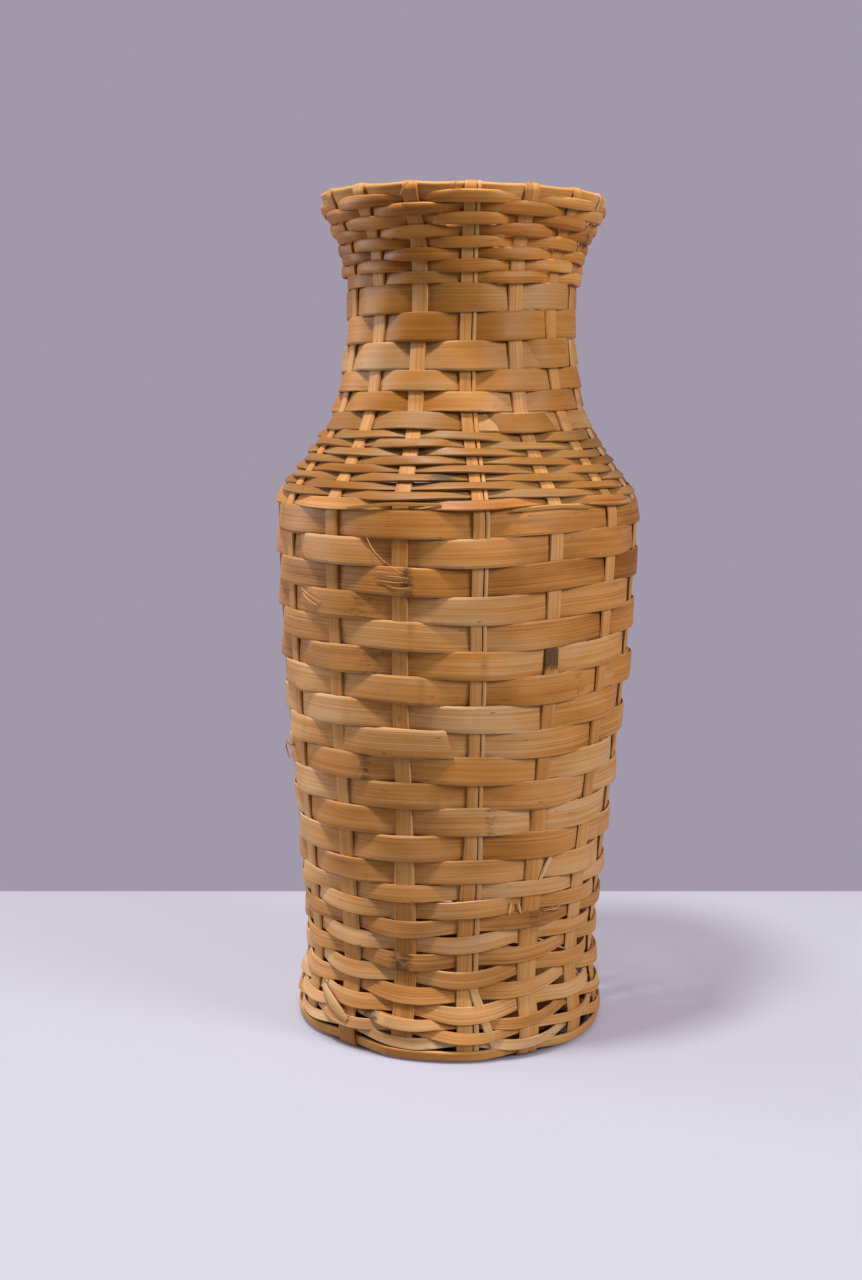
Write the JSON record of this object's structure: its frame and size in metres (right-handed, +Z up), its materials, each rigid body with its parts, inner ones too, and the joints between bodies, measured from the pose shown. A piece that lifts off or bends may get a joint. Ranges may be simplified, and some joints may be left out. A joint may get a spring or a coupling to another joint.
{
  "type": "woven vase",
  "caption": "Tall woven split-bamboo vase with a flared rim, narrow neck, sloping shoulder and slightly flared foot, for dried stems or as decoration.",
  "frame": {"origin": "on the vase's axis, at the level of the floor that it stands on", "axes": "+Z up along the axis; -Y towards the front seen in the picture; +X to the right in the picture"},
  "size_m": [0.184, 0.1846, 0.42],
  "materials": {
    "stake": "dry split bamboo, matt to satin",
    "lower_weaver": "dry split bamboo, matt to satin",
    "body_weaver": "dry split bamboo, matt to satin",
    "shoulder_weaver": "dry split bamboo, matt to satin",
    "neck_weaver": "dry split bamboo, matt to satin",
    "rim_weaver": "dry split bamboo, matt to satin",
    "hoop": "dry split bamboo, matt to satin",
    "base": "dry split bamboo, matt to satin"
  },
  "bodies": {
    "root": {"base_ring": "base", "base_splint_across_1": "base", "base_splint_across_2": "base", "base_splint_across_3": "base", "base_splint_across_4": "base", "base_splint_across_5": "base", "base_splint_across_6": "base", "base_splint_along_1": "base", "base_splint_along_2": "base", "base_splint_along_3": "base", "base_splint_along_4": "base", "base_splint_along_5": "base", "base_splint_along_6": "base", "body_weaver_1": "body_weaver", "body_weaver_2": "body_weaver", "body_weaver_3": "body_weaver", "body_weaver_4": "body_weaver", "body_weaver_5": "body_weaver", "body_weaver_6": "body_weaver", "foot_hoop": "hoop", "lower_weaver_1": "lower_weaver", "lower_weaver_2": "lower_weaver", "lower_weaver_3": "lower_weaver", "lower_weaver_4": "lower_weaver", "lower_weaver_5": "lower_weaver", "neck_weaver_1": "neck_weaver", "neck_weaver_2": "neck_weaver", "rim_hoop": "hoop", "rim_weaver_1": "rim_weaver", "rim_weaver_2": "rim_weaver", "rim_weaver_3": "rim_weaver", "shoulder_weaver_1": "shoulder_weaver", "shoulder_weaver_2": "shoulder_weaver", "shoulder_weaver_3": "shoulder_weaver", "shoulder_weaver_4": "shoulder_weaver", "stake_01": "stake", "stake_02": "stake", "stake_03": "stake", "stake_04": "stake", "stake_05": "stake", "stake_06": "stake", "stake_07": "stake", "stake_08": "stake", "stake_09": "stake", "stake_10": "stake", "stake_11": "stake", "stake_12": "stake", "stake_13": "stake", "stake_14": "stake", "stake_15": "stake"}
  },
  "joints": []
}
